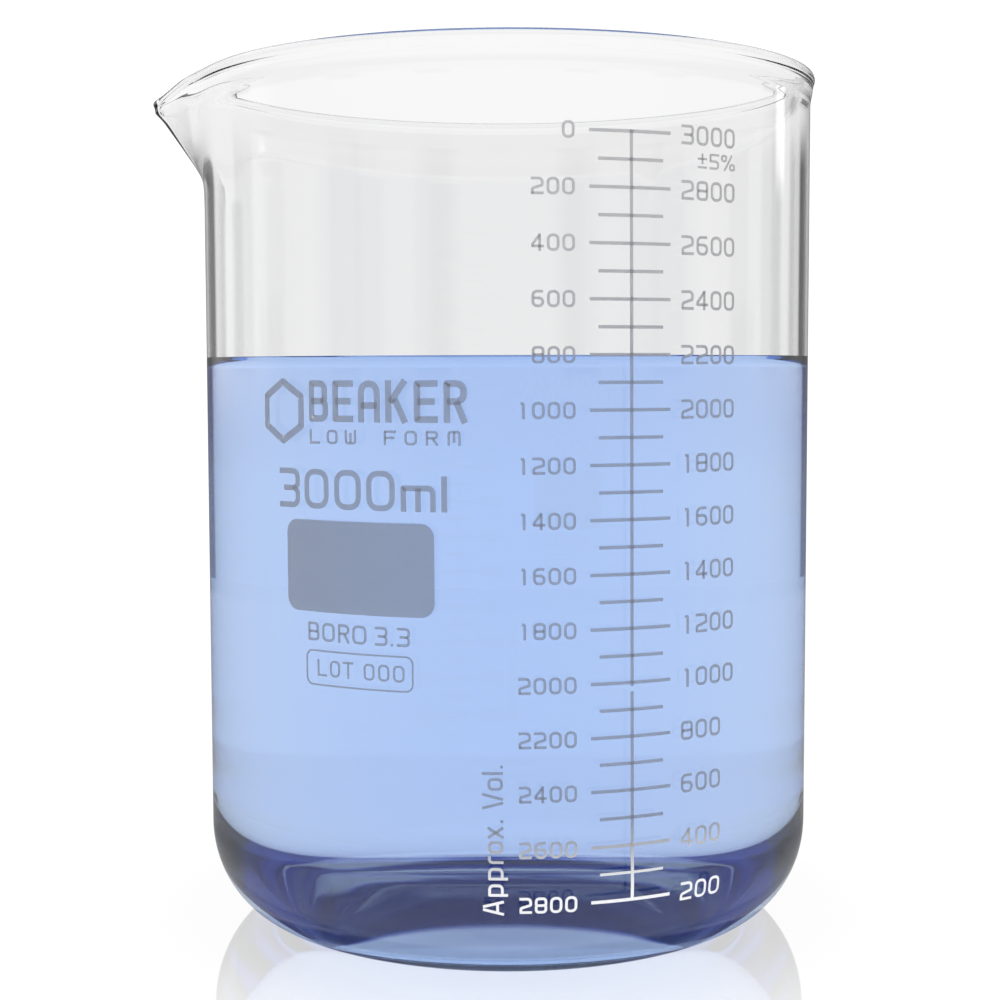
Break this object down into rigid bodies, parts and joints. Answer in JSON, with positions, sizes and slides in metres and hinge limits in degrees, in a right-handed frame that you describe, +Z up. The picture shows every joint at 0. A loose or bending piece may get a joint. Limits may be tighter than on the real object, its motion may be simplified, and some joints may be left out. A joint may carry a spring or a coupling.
{
  "type": "laboratory beaker",
  "caption": "Low-form glass laboratory beaker with a rolled rim, a pouring spout and a fired enamel scale, standing on its flat base and part filled with a blue liquid.",
  "frame": {"origin": "centre of the flat base, on the surface that the beaker stands on", "axes": "+Z up along the wall's axis, the pouring spout points along -X, the printed scale faces -Y"},
  "size_m": [0.1668, 0.154, 0.21],
  "materials": {
    "glass": "clear fire-polished borosilicate glass",
    "liquid": "clear pale blue liquid, still surface",
    "enamel": "white fired enamel print, satin"
  },
  "bodies": {
    "root": {"glass_vessel": "glass", "blue_liquid": "liquid", "scale_ladder_upper": "enamel", "scale_ladder_lower": "enamel", "marking_spot": "enamel", "batch_frame": "enamel", "capacity_three": "enamel", "capacity_zero_1": "enamel", "capacity_zero_2": "enamel", "capacity_zero_3": "enamel", "capacity_m": "enamel", "capacity_l": "enamel", "hexagon_emblem": "enamel"}
  },
  "joints": []
}
